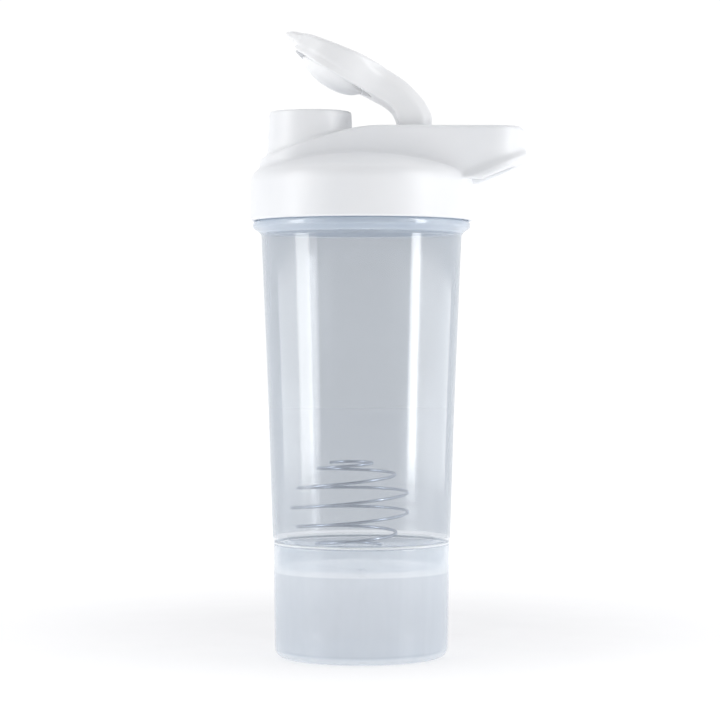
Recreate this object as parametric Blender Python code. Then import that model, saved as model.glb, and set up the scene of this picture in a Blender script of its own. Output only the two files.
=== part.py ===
"""Protein shaker bottle with a flip-cap lid, a wire mixer spring and a screw-on storage cup.

The bottle's axis is Z and it stands on z = 0. The spout is towards -X and the carry loop
towards +X. The flip cap is modelled part way open. All sizes are in metres.
"""

import math

import bmesh
import bpy

# ---------------------------------------------------------------- driving dimensions
GAP = 0.0003  # left between pieces that touch
SEGMENTS = 48  # sides of a full circle
DEEP = 0.004  # how far a cutter or a joined shape runs past what it meets

# Bottle body: outer wall radii from the foot up to the flange
BODY_FOOT_R = 0.0355
BODY_MID_R = 0.0372
BODY_TOP_R = 0.0400
BODY_WALL = 0.0018
LIP_R = 0.0353  # short lip below the wall, flush with the cup
SHOULDER_Z = 0.0464  # underside of the lip, which closes on the storage seal
LIP_Z = 0.0478
BODY_MID_Z = 0.1025
BODY_TOP_Z = 0.1690
FLANGE_R = 0.0433
FLANGE_Z = 0.1725
FLOOR_Z = 0.0437
FLOOR_THICKNESS = 0.0020
SKIRT_R = 0.0323  # threaded ring under the floor
SKIRT_WALL = 0.0019
SKIRT_END_Z = 0.0363
NECK_R = 0.0406
NECK_WALL = 0.0021
NECK_END_Z = 0.1900

# Lid shell
LID_R = 0.0444
LID_BORE_R = 0.0425
LID_EDGE_Z = 0.1740
LID_SHOULDER_Z = 0.1946
LID_SHOULDER_R = 0.0408
DOME_Z = 0.2020
DOME_WALL = 0.0024
SEAL_CEILING_Z = 0.1922

# Raised housing that carries the spout, the hinge cheeks and the carry loop
SPOUT_X = -0.0204
HOUSING_R = 0.0202
HOUSING_WALL = 0.0023
DECK_LOW_X = -0.0382
DECK_LOW_Z = 0.1994
DECK_HIGH_X = -0.0060
DECK_HIGH_Z = 0.2095
CHEEK_TOP_Z = 0.2110
CHEEK_TOP_X = 0.0050
CHEEK_HALF = 0.0196  # half width over the cheeks and the loop
SLOT_HALF = 0.0140  # half width between the cheeks
SLOT_FRONT_X = 0.0065
LOOP_END_X = 0.0658
LOOP_CORNER_R = 0.0150
LOOP_BAR = 0.0058
RIM_PROUD = 0.0010
RIM_DEPTH = 0.0032
RIM_START_X = 0.0450
RIM_START_Z = 0.1889
RIM_SLOPE = math.tan(math.radians(22.4))

# Spout
SPOUT_TOP_Z = 0.2177
SPOUT_BASE_Z = 0.1980
SPOUT_TOP_R = 0.0164
SPOUT_BASE_R = 0.0174
SPOUT_BORE_R = 0.0147
SPOUT_LEAD_IN = 0.0008

# Flip cap, drawn closed about its hinge axis and then opened
HINGE_X = 0.0192
HINGE_Z = 0.2060
CAP_OPEN_DEG = 31.0
HUB_R = 0.0050
ARM_HALF = 0.0132
TRUNNION_R = 0.0026
TRUNNION_END_Y = 0.0162
CAP_R = 0.0189
CAP_BORE_R = 0.0175
CAP_CENTRE_X = SPOUT_X - HINGE_X - 0.0003
CAP_EDGE_Z = 0.0074
CAP_CEILING_Z = 0.0122
PLUG_R = 0.0132
PLUG_END_Z = 0.0016
PLUG_STUD_R = 0.0050
PLUG_STUD_END_Z = 0.0060

# Storage cup
CUP_RIM_R = 0.0352
CUP_FOOT_R = 0.0345
CUP_WALL = 0.0015
CUP_FLOOR = 0.0018
CUP_FILLET = 0.0038

# Seals
LID_SEAL_INNER_R = 0.0378
LID_SEAL_HEIGHT = 0.0016
CUP_SEAL_INNER_R = 0.03365
CUP_SEAL_OUTER_R = 0.0350
CUP_SEAL_HEIGHT = 0.0008

# Threads: (pitch, root width, crest width, ridge height), both right handed
LID_THREAD = (0.0050, 0.0022, 0.0010, 0.0014)
CUP_THREAD = (0.0040, 0.0017, 0.0008, 0.0010)
NECK_THREAD_Z = 0.1770
NECK_THREAD_TURNS = 1.5
LID_THREAD_TURNS = 1.25
SKIRT_THREAD_Z = 0.0382
SKIRT_THREAD_TURNS = 1.25
CUP_THREAD_TURNS = 0.75

# Mixer spring: a round wire wound on a barrel
WIRE_R = 0.0006
SPRING_X = -0.0044
SPRING_MAX_R = 0.0234
SPRING_SQUASH = 1.28  # how much shorter than a ball the barrel's profile is
SPRING_MID_Z = 0.0603
SPRING_LOW_Z = FLOOR_Z + GAP + WIRE_R
SPRING_PITCH = 0.0078
SPRING_TURNS = 5.5
SPRING_CLIMB = (0.46, 4.68)  # turns from the bottom between which the wire climbs; the ends lie flat
SPRING_BLEND = (0.35, 0.60)  # turns over which each end runs into the climb
SPRING_LEAN = 0.05  # slope of the middle turns, which lie a little askew
WIRE_STEPS = 22  # wire sections in one turn
WIRE_SIDES = 8


# ---------------------------------------------------------------- outlines and solids
def arc(centre, radius, start_deg, end_deg, steps):
    """Points on a circular arc, both ends included."""
    points = []
    for i in range(steps + 1):
        a = math.radians(start_deg + (end_deg - start_deg) * i / steps)
        points.append((centre[0] + radius * math.cos(a), centre[1] + radius * math.sin(a)))
    return points


def link(name, bm):
    """Turns a closed bmesh into an object with its faces pointing out."""
    bmesh.ops.recalc_face_normals(bm, faces=bm.faces)
    mesh = bpy.data.meshes.new(name)
    bm.to_mesh(mesh)
    bm.free()
    mesh.shade_smooth()
    mesh.set_sharp_from_angle(angle=math.radians(35))
    ob = bpy.data.objects.new(name, mesh)
    bpy.context.scene.collection.objects.link(ob)
    return ob


def lathe(name, profile, centre_x=0.0, segments=SEGMENTS):
    """Turns a closed outline of (radius, z) points about a vertical axis.

    Where the outline runs in to the axis at radius 0, a flat end is one face and a sloping
    one is a fan of triangles.
    """
    bm = bmesh.new()
    rings = []
    for radius, z in profile:
        ring = []
        for i in range(segments if radius else 0):
            a = 2 * math.pi * i / segments
            ring.append(bm.verts.new((centre_x + radius * math.cos(a), radius * math.sin(a), z)))
        rings.append(ring)
    for k, low in enumerate(rings):
        n = (k + 1) % len(rings)
        high = rings[n]
        if low and high:
            for i in range(segments):
                j = (i + 1) % segments
                bm.faces.new((low[i], low[j], high[j], high[i]))
        elif (low or high) and profile[k][1] == profile[n][1]:
            bm.faces.new(low or high)
        elif low or high:
            tip = bm.verts.new((centre_x, 0.0, profile[n if low else k][1]))
            ring = low or high
            for i in range(segments):
                bm.faces.new((ring[i], ring[(i + 1) % segments], tip))
    return link(name, bm)


def extrude(name, outline, axis, low, high):
    """Extrudes an outline: one in X and Y along Z, or one in X and Z along Y."""
    bm = bmesh.new()
    ends = []
    for level in (low, high):
        ends.append([bm.verts.new((u, v, level) if axis == "Z" else (u, level, v)) for u, v in outline])
    bm.faces.new(ends[0])
    bm.faces.new(ends[1])
    for i in range(len(outline)):
        j = (i + 1) % len(outline)
        bm.faces.new((ends[0][i], ends[0][j], ends[1][j], ends[1][i]))
    return link(name, bm)


def thread(name, wall_r, outward, start_z, turns, form):
    """A helical ridge on a round wall, rooted in it, that fades in and out at its ends."""
    pitch, root_width, crest_width, height = form
    side = 1 if outward else -1
    steps = round(turns * SEGMENTS)
    bm = bmesh.new()
    previous = None
    first = None
    for i in range(steps + 1):
        a = 2 * math.pi * (i + 0.5) / SEGMENTS
        z = start_z + pitch * (i + 0.5) / SEGMENTS
        fade = min(1.0, 0.15 + i / 3, 0.15 + (steps - i) / 3)
        root_r = wall_r - side * 0.0005
        crest_r = wall_r + side * height * fade
        section = []
        for radius, dz in (
            (root_r, -root_width / 2),
            (crest_r, -crest_width / 2),
            (crest_r, crest_width / 2),
            (root_r, root_width / 2),
        ):
            section.append(bm.verts.new((radius * math.cos(a), radius * math.sin(a), z + dz)))
        if previous:
            for k in range(4):
                m = (k + 1) % 4
                bm.faces.new((previous[k], previous[m], section[m], section[k]))
        first = first or section
        previous = section
    bm.faces.new(first)
    bm.faces.new(previous)
    return link(name, bm)


def combine(ob, operation, other):
    """Adds a Boolean modifier and marks its other shape as a guide."""
    mod = ob.modifiers.new(operation.lower(), "BOOLEAN")
    mod.operation = operation
    mod.solver = "EXACT"
    mod.object = other
    other.hide_render = True
    other.display_type = "WIRE"
    return ob


def material(name, colour, roughness, metallic=0.0, transmission=0.0):
    """A Principled material."""
    mat = bpy.data.materials.new(name)
    mat.use_nodes = True
    shader = mat.node_tree.nodes["Principled BSDF"]
    shader.inputs["Base Color"].default_value = (*colour, 1.0)
    shader.inputs["Roughness"].default_value = roughness
    shader.inputs["Metallic"].default_value = metallic
    shader.inputs["Transmission Weight"].default_value = transmission
    mat.diffuse_color = (*colour, 1.0)
    return mat


# ---------------------------------------------------------------- bottle body
def bottle_profile():
    """Wall, flange, neck and floor with the threaded ring below it, as one outline."""
    outer = [
        (SKIRT_R, SKIRT_END_Z),
        (SKIRT_R, SHOULDER_Z),
        (LIP_R, SHOULDER_Z),
        (LIP_R, LIP_Z),
        (BODY_FOOT_R, LIP_Z + 0.0004),
        (BODY_MID_R, BODY_MID_Z),
        (BODY_TOP_R, BODY_TOP_Z),
        (BODY_TOP_R + 0.0007, BODY_TOP_Z + 0.0013),
        (BODY_TOP_R + 0.0020, FLANGE_Z - 0.0011),
        (FLANGE_R, FLANGE_Z - 0.0004),
        (FLANGE_R, FLANGE_Z + 0.0006),
        (FLANGE_R - 0.0005, FLANGE_Z + 0.0010),
        (NECK_R, FLANGE_Z + 0.0010),
        (NECK_R, NECK_END_Z - 0.0004),
        (NECK_R - 0.0004, NECK_END_Z),
    ]
    inner = [
        (NECK_R - NECK_WALL, NECK_END_Z),
        (BODY_TOP_R - BODY_WALL, BODY_TOP_Z),
        (BODY_MID_R - BODY_WALL, BODY_MID_Z),
        (BODY_FOOT_R - BODY_WALL, 0.0530),
    ]
    well_r = 0.0080  # rounding between the wall and the floor
    centre = (BODY_FOOT_R - BODY_WALL - well_r, FLOOR_Z + well_r)
    inner += arc(centre, well_r, 0, -90, 5)
    inner.append((0.0, FLOOR_Z))
    under = [
        (0.0, FLOOR_Z - FLOOR_THICKNESS),
        (SKIRT_R - SKIRT_WALL, FLOOR_Z - FLOOR_THICKNESS),
        (SKIRT_R - SKIRT_WALL, SKIRT_END_Z),
    ]
    return outer + inner + under


def make_bottle_body():
    body = lathe("bottle_body", bottle_profile())
    neck = thread("neck_thread", NECK_R, True, NECK_THREAD_Z, NECK_THREAD_TURNS, LID_THREAD)
    skirt = thread("skirt_thread", SKIRT_R, True, SKIRT_THREAD_Z, SKIRT_THREAD_TURNS, CUP_THREAD)
    combine(body, "UNION", neck)
    combine(body, "UNION", skirt)
    return body


# ---------------------------------------------------------------- lid
def dome_z(radius, drop=0.0):
    """Height of the lid's dome at a radius, or of the surface a wall's thickness below it."""
    return DOME_Z - drop - (DOME_Z - LID_SHOULDER_Z) * (radius / LID_SHOULDER_R) ** 2


def lid_outer_profile():
    points = [(0.0, LID_EDGE_Z), (LID_R - 0.0003, LID_EDGE_Z), (LID_R, LID_EDGE_Z + 0.0004)]
    points += [(LID_R, 0.1880), (LID_R - 0.0006, 0.1909), (LID_R - 0.0017, 0.1932)]
    for i in range(6):
        radius = LID_SHOULDER_R * (1 - i / 5)
        points.append((radius, dome_z(radius)))
    return points


def lid_inner_profile():
    ceiling_r = LID_SEAL_INNER_R - 0.0008
    points = [(0.0, LID_EDGE_Z - DEEP), (LID_BORE_R, LID_EDGE_Z - DEEP)]
    points += [(LID_BORE_R, SEAL_CEILING_Z), (ceiling_r, SEAL_CEILING_Z)]
    for i in range(5):
        radius = ceiling_r * (1 - i / 4)
        points.append((radius, dome_z(radius, DOME_WALL)))
    return points


def racetrack(inset, end_x, half, corner_r):
    """Plan outline: round about the spout, straight sides, an end with round corners."""
    left = arc((SPOUT_X, 0.0), HOUSING_R - inset, 90, 270, 14)
    lower = arc((end_x - corner_r, corner_r - half), corner_r, -90, 0, 6)
    upper = arc((end_x - corner_r, half - corner_r), corner_r, 0, 90, 6)
    return left + lower + upper


def rim_z(x):
    """Height of the loop's lower edge, which climbs towards its end."""
    return RIM_START_Z + (x - RIM_START_X) * RIM_SLOPE


def make_housing():
    """Spout platform, cheeks and carry loop as one body, open between the cheeks."""
    track = racetrack(0.0, LOOP_END_X, CHEEK_HALF, LOOP_CORNER_R)
    housing = extrude("housing", track, "Z", 0.1800, 0.2300)
    side = [
        (-0.0450, 0.1900),
        (LID_SHOULDER_R, 0.1900),
        (RIM_START_X, rim_z(RIM_START_X) + RIM_DEPTH / 2),
        (LOOP_END_X + DEEP, rim_z(LOOP_END_X) + RIM_DEPTH),
        (LOOP_END_X + DEEP, CHEEK_TOP_Z - 0.0060),
        (LOOP_END_X, CHEEK_TOP_Z - 0.0035),
        (LOOP_END_X - 0.0018, CHEEK_TOP_Z - 0.0010),
        (LOOP_END_X - 0.0045, CHEEK_TOP_Z),
        (CHEEK_TOP_X, CHEEK_TOP_Z),
        (CHEEK_TOP_X - 0.0050, CHEEK_TOP_Z - 0.0003),
        (DECK_HIGH_X, DECK_HIGH_Z),
        (DECK_LOW_X, DECK_LOW_Z),
        (DECK_LOW_X - 0.0022, DECK_LOW_Z - 0.0018),
        (-0.0450, 0.1960),
    ]
    combine(housing, "INTERSECT", extrude("housing_side", side, "Y", -0.0300, 0.0300))
    return combine(housing, "DIFFERENCE", make_slot("housing_slot"))


def make_slot(name):
    """Space between the cheeks, which runs on as the loop's finger opening."""
    end_x = LOOP_END_X - LOOP_BAR
    corner_r = LOOP_CORNER_R - LOOP_BAR
    outline = [(SLOT_FRONT_X, SLOT_HALF), (SLOT_FRONT_X, -SLOT_HALF)]
    outline += arc((end_x - corner_r, corner_r - SLOT_HALF), corner_r, -90, 0, 5)
    outline += arc((end_x - corner_r, SLOT_HALF - corner_r), corner_r, 0, 90, 5)
    return extrude(name, outline, "Z", 0.1700, 0.2400)


def make_rim():
    """Bead along the loop's lower edge, slightly proud of the loop's wall."""
    half = CHEEK_HALF + RIM_PROUD
    track = racetrack(0.0, LOOP_END_X + RIM_PROUD, half, LOOP_CORNER_R + RIM_PROUD)
    rim = extrude("rim", track, "Z", 0.1750, 0.2200)
    low_x = 0.0385
    high_x = LOOP_END_X + DEEP
    side = [
        (low_x, rim_z(low_x)),
        (high_x, rim_z(high_x)),
        (high_x, rim_z(high_x) + RIM_DEPTH),
        (low_x, rim_z(low_x) + RIM_DEPTH),
    ]
    combine(rim, "INTERSECT", extrude("rim_side", side, "Y", -0.0310, 0.0310))
    return combine(rim, "DIFFERENCE", make_slot("rim_slot"))


def make_housing_hollow():
    """Space under the sloping deck, open to the inside of the lid."""
    half = CHEEK_HALF - HOUSING_WALL
    track = arc((SPOUT_X, 0.0), HOUSING_R - HOUSING_WALL, 90, 270, 14)
    track += [(SLOT_FRONT_X - HOUSING_WALL, -half), (SLOT_FRONT_X - HOUSING_WALL, half)]
    hollow = extrude("housing_hollow", track, "Z", 0.1700, 0.2300)
    side = [
        (-0.0450, 0.1850),
        (0.0200, 0.1850),
        (0.0200, CHEEK_TOP_Z - HOUSING_WALL),
        (0.0000, CHEEK_TOP_Z - HOUSING_WALL - 0.0003),
        (DECK_HIGH_X, DECK_HIGH_Z - HOUSING_WALL),
        (-0.0450, DECK_LOW_Z - HOUSING_WALL + (DECK_HIGH_Z - DECK_LOW_Z) * -0.0068 / 0.0322),
    ]
    return combine(hollow, "INTERSECT", extrude("hollow_side", side, "Y", -0.0300, 0.0300))


def make_spout():
    profile = [
        (0.0, SPOUT_BASE_Z),
        (SPOUT_BASE_R, SPOUT_BASE_Z),
        (SPOUT_TOP_R, SPOUT_TOP_Z - 0.0006),
        (SPOUT_TOP_R - 0.0006, SPOUT_TOP_Z),
        (0.0, SPOUT_TOP_Z),
    ]
    return lathe("spout", profile, SPOUT_X)


def make_spout_bore():
    profile = [
        (0.0, 0.1900),
        (SPOUT_BORE_R, 0.1900),
        (SPOUT_BORE_R, SPOUT_TOP_Z - 0.0010),
        (SPOUT_BORE_R + SPOUT_LEAD_IN, SPOUT_TOP_Z),
        (SPOUT_BORE_R + SPOUT_LEAD_IN, SPOUT_TOP_Z + DEEP),
        (0.0, SPOUT_TOP_Z + DEEP),
    ]
    return lathe("spout_bore", profile, SPOUT_X)


def hinge_cylinder(name, radius, half):
    """A cylinder on the hinge axis, in the cap's own frame."""
    return extrude(name, arc((0.0, 0.0), radius, 0, 345, 23), "Y", -half, half)


def make_lid():
    lid = lathe("lid", lid_outer_profile())
    for shape in (make_housing(), make_rim(), make_spout()):
        combine(lid, "UNION", shape)
    sockets = hinge_cylinder("hinge_sockets", TRUNNION_R + GAP, TRUNNION_END_Y + 2 * GAP)
    sockets.location = (HINGE_X, 0.0, HINGE_Z)
    inside = lathe("lid_inside", lid_inner_profile())
    for cutter in (inside, make_housing_hollow(), make_spout_bore(), sockets):
        combine(lid, "DIFFERENCE", cutter)
    start_z = NECK_THREAD_Z + LID_THREAD[0] / 2
    ridge = thread("lid_thread", LID_BORE_R, False, start_z, LID_THREAD_TURNS, LID_THREAD)
    return combine(lid, "UNION", ridge)


# ---------------------------------------------------------------- flip cap and its plug
def cap_side_outline():
    """Side view of the closed cap about its hinge: tip, crown, arm, hub and lower edge."""
    outline = [
        (-0.0590, CAP_EDGE_Z + 0.0022),
        (-0.0640, CAP_EDGE_Z + 0.0030),
        (-0.0643, CAP_EDGE_Z + 0.0044),
        (-0.0634, CAP_EDGE_Z + 0.0054),
        (-0.0580, CAP_EDGE_Z + 0.0072),
        (-0.0500, 0.0160),
        (-0.0413, 0.0174),
        (-0.0326, 0.0187),
        (-0.0230, 0.0193),
        (-0.0130, 0.0190),
        (-0.0070, 0.0176),
        (-0.0020, 0.0156),
        (0.0022, 0.0128),
        (0.0046, 0.0100),
    ]
    outline += arc((0.0, 0.0), HUB_R, 30, -190, 14)
    outline += [
        (-0.0070, 0.0032),
        (-0.0096, 0.0060),
        (-0.0125, 0.0078),
        (-0.0160, CAP_EDGE_Z + 0.0008),
        (-0.0200, CAP_EDGE_Z),
        (-0.0588, CAP_EDGE_Z),
    ]
    return outline


def cap_plan_outline():
    """Top view of the cap: round over the spout, a thumb tab in front, a straight arm."""
    outline = [(0.0080, -ARM_HALF), (0.0080, ARM_HALF), (-0.0160, ARM_HALF)]
    outline += arc((CAP_CENTRE_X, 0.0), CAP_R, 52, 154, 12)
    outline += arc((CAP_CENTRE_X - 0.0187, 0.0), 0.0062, 100, 260, 8)
    outline += arc((CAP_CENTRE_X, 0.0), CAP_R, 206, 308, 12)
    outline.append((-0.0160, -ARM_HALF))
    return outline


def open_on_hinge(ob):
    """Puts a cap piece on the hinge axis, turned to its part-open pose."""
    ob.location = (HINGE_X, 0.0, HINGE_Z)
    ob.rotation_euler = (0.0, math.radians(CAP_OPEN_DEG), 0.0)


def make_flip_cap():
    cap = extrude("flip_cap", cap_side_outline(), "Y", -0.0250, 0.0250)
    plan = extrude("cap_plan", cap_plan_outline(), "Z", -0.0100, 0.0300)
    bore_profile = [
        (0.0, CAP_EDGE_Z - DEEP),
        (CAP_BORE_R, CAP_EDGE_Z - DEEP),
        (CAP_BORE_R, CAP_CEILING_Z - 0.0012),
        (CAP_BORE_R - 0.0012, CAP_CEILING_Z),
        (0.0, CAP_CEILING_Z),
    ]
    bore = lathe("cap_bore", bore_profile, CAP_CENTRE_X)
    stud_profile = [
        (0.0, PLUG_STUD_END_Z),
        (PLUG_STUD_R, PLUG_STUD_END_Z),
        (PLUG_STUD_R, CAP_CEILING_Z + 0.0010),
        (0.0, CAP_CEILING_Z + 0.0010),
    ]
    stud = lathe("plug_stud", stud_profile, CAP_CENTRE_X, 24)
    trunnions = hinge_cylinder("trunnions", TRUNNION_R, TRUNNION_END_Y)
    steps = (("INTERSECT", plan), ("DIFFERENCE", bore), ("UNION", stud), ("UNION", trunnions))
    for operation, shape in steps:
        combine(cap, operation, shape)
        open_on_hinge(shape)
    open_on_hinge(cap)
    return cap


def make_spout_plug():
    """Soft round-nosed plug held on the cap's stud."""
    profile = [
        (0.0, PLUG_END_Z),
        (0.0060, PLUG_END_Z + 0.0003),
        (0.0098, PLUG_END_Z + 0.0013),
        (0.0120, PLUG_END_Z + 0.0029),
        (0.0130, PLUG_END_Z + 0.0047),
        (PLUG_R, PLUG_END_Z + 0.0062),
        (PLUG_R, CAP_CEILING_Z - GAP),
        (PLUG_STUD_R + GAP, CAP_CEILING_Z - GAP),
        (PLUG_STUD_R + GAP, PLUG_STUD_END_Z - GAP),
        (0.0, PLUG_STUD_END_Z - GAP),
    ]
    plug = lathe("spout_plug", profile, CAP_CENTRE_X)
    open_on_hinge(plug)
    return plug


# ---------------------------------------------------------------- storage cup and seals
def make_storage_cup():
    seat_z = SHOULDER_Z - 2 * GAP - CUP_SEAL_HEIGHT
    fillet = arc((CUP_FOOT_R - CUP_FILLET, CUP_FILLET), CUP_FILLET, -90, 0, 5)
    inner_foot_r = CUP_FOOT_R - CUP_WALL
    inner_fillet = CUP_FILLET - CUP_WALL + 0.0006
    centre = (inner_foot_r - inner_fillet, CUP_FLOOR + inner_fillet)
    profile = [(0.0, 0.0)]
    profile += fillet
    profile += [(CUP_RIM_R, seat_z - 0.0003), (CUP_RIM_R - 0.0003, seat_z)]
    profile += [(CUP_RIM_R - CUP_WALL, seat_z)]
    profile += arc(centre, inner_fillet, 0, -90, 4)
    profile.append((0.0, CUP_FLOOR))
    cup = lathe("storage_cup", profile)
    start_z = SKIRT_THREAD_Z + CUP_THREAD[0] / 2
    ridge = thread("cup_thread", CUP_RIM_R - CUP_WALL, False, start_z, CUP_THREAD_TURNS, CUP_THREAD)
    return combine(cup, "UNION", ridge)


def seal_ring(name, inner_r, outer_r, low_z, height):
    """A flat ring with its outer corners eased."""
    ease = height * 0.2
    profile = [
        (inner_r, low_z),
        (outer_r - ease, low_z),
        (outer_r, low_z + ease),
        (outer_r, low_z + height - ease),
        (outer_r - ease, low_z + height),
        (inner_r, low_z + height),
    ]
    return lathe(name, profile)


def make_seals():
    lid_seal = seal_ring(
        "lid_gasket", LID_SEAL_INNER_R, LID_BORE_R - GAP, NECK_END_Z + GAP, LID_SEAL_HEIGHT
    )
    low_z = SHOULDER_Z - GAP - CUP_SEAL_HEIGHT
    cup_seal = seal_ring("storage_gasket", CUP_SEAL_INNER_R, CUP_SEAL_OUTER_R, low_z, CUP_SEAL_HEIGHT)
    return lid_seal, cup_seal


# ---------------------------------------------------------------- mixer spring
def rounded_ramp(turn, start, blend):
    """0 before start, then one for one, with a parabola over blend turns on either side."""
    past = turn - start
    if abs(past) < blend:
        return (past + blend) ** 2 / (4 * blend)
    return max(past, 0.0)


def spring_point(turn):
    """Centre of the wire after some turns from the bottom: barrel radius, flat ends, slight lean."""
    climbed = rounded_ramp(turn, SPRING_CLIMB[0], SPRING_BLEND[0])
    climbed -= rounded_ramp(turn, SPRING_CLIMB[1], SPRING_BLEND[1])
    z = SPRING_LOW_Z + SPRING_PITCH * climbed
    radius = math.sqrt(SPRING_MAX_R**2 - ((z - SPRING_MID_Z) * SPRING_SQUASH) ** 2)
    a = 2 * math.pi * turn
    lean = SPRING_LEAN * math.sin(math.pi * turn / SPRING_TURNS) * radius * math.cos(a)
    return SPRING_X + radius * math.cos(a), radius * math.sin(a), z + lean


def make_mixer_spring():
    """A swept wire whose centre line climbs a barrel."""
    curve = bpy.data.curves.new("mixer_spring", "CURVE")
    curve.dimensions = "3D"
    curve.bevel_depth = WIRE_R
    curve.bevel_resolution = WIRE_SIDES // 4
    curve.use_fill_caps = True
    count = round(SPRING_TURNS * WIRE_STEPS) + 1
    spline = curve.splines.new("POLY")
    spline.points.add(count - 1)
    for i in range(count):
        spline.points[i].co = (*spring_point(i / WIRE_STEPS), 1.0)
    spring = bpy.data.objects.new("mixer_spring", curve)
    bpy.context.scene.collection.objects.link(spring)
    return spring


# ---------------------------------------------------------------- assembly
def main():
    for ob in list(bpy.data.objects):
        bpy.data.objects.remove(ob)
    frosted = material("frosted_polypropylene", (0.80, 0.84, 0.88), 0.25, transmission=0.8)
    white = material("white_polypropylene", (0.90, 0.90, 0.91), 0.38)
    steel = material("stainless_wire", (0.62, 0.63, 0.65), 0.2, metallic=1.0)
    silicone = material("silicone", (0.85, 0.87, 0.89), 0.5)
    lid_seal, cup_seal = make_seals()
    finishes = (
        (make_bottle_body(), frosted),
        (make_storage_cup(), frosted),
        (make_lid(), white),
        (make_flip_cap(), white),
        (make_spout_plug(), silicone),
        (lid_seal, silicone),
        (cup_seal, silicone),
        (make_mixer_spring(), steel),
    )
    for ob, finish in finishes:
        ob.data.materials.append(finish)


main()
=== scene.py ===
"""Looks for the protein shaker bottle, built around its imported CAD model.

Mouldings with blended shapes (lid and flip cap) are drawn as signed fields in millimetres and
meshed here. Round pieces are turned from filleted outlines. Everything ends up in metres.
"""

import math

import bpy
import numpy as np
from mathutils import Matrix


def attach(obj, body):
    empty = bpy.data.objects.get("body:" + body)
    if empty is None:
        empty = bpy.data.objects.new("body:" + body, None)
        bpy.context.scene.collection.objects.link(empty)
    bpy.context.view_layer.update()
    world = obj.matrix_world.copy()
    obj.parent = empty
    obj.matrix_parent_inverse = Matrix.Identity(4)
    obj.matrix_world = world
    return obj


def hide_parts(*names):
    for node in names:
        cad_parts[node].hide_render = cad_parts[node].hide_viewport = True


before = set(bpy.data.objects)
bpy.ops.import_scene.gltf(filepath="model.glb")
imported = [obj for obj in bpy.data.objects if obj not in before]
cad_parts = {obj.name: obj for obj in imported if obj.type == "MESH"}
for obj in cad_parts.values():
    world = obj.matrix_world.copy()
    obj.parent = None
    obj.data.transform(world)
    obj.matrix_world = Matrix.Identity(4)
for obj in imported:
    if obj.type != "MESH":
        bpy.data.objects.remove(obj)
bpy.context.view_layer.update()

MM = 0.001

# Sizes in millimetres, with the origin at the centre of the base. Lid and hinge:
LID_R = 44.4
LID_EDGE_Z = 174.0
LID_BORE_R = 42.5
SHOULDER_R = 40.8
SHOULDER_Z = 194.6
DOME_TOP_Z = 202.0
DOME_WALL = 2.4
SEAL_CEILING_Z = 192.2
HINGE_X = 19.2
HINGE_Z = 206.0
CAP_OPEN = math.radians(31.0)
SPOUT_X = -20.4
CAP_CENTRE_X = SPOUT_X - HINGE_X - 0.3
CAP_CEILING_Z = 12.2

# Mixer spring
WIRE_R = 0.6
SPRING_X = -4.4
SPRING_MAX_R = 23.4
SPRING_SQUASH = 1.28  # how much shorter than a ball the barrel's profile is
SPRING_MID_Z = 60.3
SPRING_LOW_Z = 44.6
SPRING_PITCH = 7.8
SPRING_TURNS = 5.5
SPRING_CLIMB = (0.46, 4.68)  # turns from the bottom between which the wire climbs
SPRING_BLEND = (0.35, 0.60)  # turns over which each flat end runs into the climb
SPRING_LEAN = 0.05  # slope of the middle turns

# Thread forms: (pitch, root width, crest width, ridge height)
LID_THREAD = (5.0, 2.2, 1.0, 1.4)
CUP_THREAD = (4.0, 1.7, 0.8, 1.0)
# Ridges of those threads: (z of the start, turns)
NECK_RIDGE = (177.0, 1.5)
LID_RIDGE = (179.5, 1.25)
RING_RIDGE = (38.2, 1.25)
CUP_RIDGE = (40.2, 0.75)


# ---------------------------------------------------------------- fields
def smin(a, b, k):
    """Union of two fields with a fillet about k wide."""
    h = np.maximum(k - np.abs(a - b), 0.0) / k
    return np.minimum(a, b) - h * h * k * 0.25


def smax(a, b, k):
    """Intersection of two fields with a rounded edge about k wide."""
    return -smin(-a, -b, k)


def smoothstep(low, high, value):
    """0 at low, 1 at high, with an eased ramp between."""
    t = np.clip((value - low) / (high - low), 0.0, 1.0)
    return t * t * (3.0 - 2.0 * t)


def round_corner(u, v, radius):
    """Quarter plane u < 0, v < 0 with its corner rounded."""
    qu = u + radius
    qv = v + radius
    outside = np.hypot(np.maximum(qu, 0.0), np.maximum(qv, 0.0))
    return outside + np.minimum(np.maximum(qu, qv), 0.0) - radius


def curve_through(points):
    """A dense table of a smooth curve through (x, height) points, for np.interp."""
    pts = np.array(points, float)
    slopes = np.gradient(pts[:, 1], pts[:, 0])
    xs = []
    zs = []
    for i in range(len(pts) - 1):
        width = pts[i + 1, 0] - pts[i, 0]
        t = np.linspace(0.0, 1.0, 24, endpoint=False)
        h00 = 2 * t**3 - 3 * t**2 + 1
        h10 = t**3 - 2 * t**2 + t
        h01 = 3 * t**2 - 2 * t**3
        h11 = t**3 - t**2
        xs.append(pts[i, 0] + width * t)
        start = h00 * pts[i, 1] + h10 * width * slopes[i]
        zs.append(start + h01 * pts[i + 1, 1] + h11 * width * slopes[i + 1])
    xs.append([pts[-1, 0]])
    zs.append([pts[-1, 1]])
    return np.concatenate(xs), np.concatenate(zs)


def helix_offset(angle, z, start_z, turns, pitch):
    """Distance in z from the nearest turn of a helix, and that turn's share along it."""
    far = 99.0
    turn = np.mod(angle, 2 * math.pi) / (2 * math.pi)
    best = np.full(np.broadcast(angle, z).shape, far)
    along = np.zeros_like(best)
    for n in range(math.ceil(turns)):
        t = turn + n
        dz = np.where(t <= turns, np.abs(z - start_z - pitch * t), far)
        nearer = dz < best
        best = np.where(nearer, dz, best)
        along = np.where(nearer, t, along)
    return best, along


def end_fade(along, turns):
    """Thread height share: it rises and falls over a tenth of a turn at its ends."""
    return smoothstep(0.0, 0.10, along) * smoothstep(0.0, 0.10, turns - along)


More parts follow.
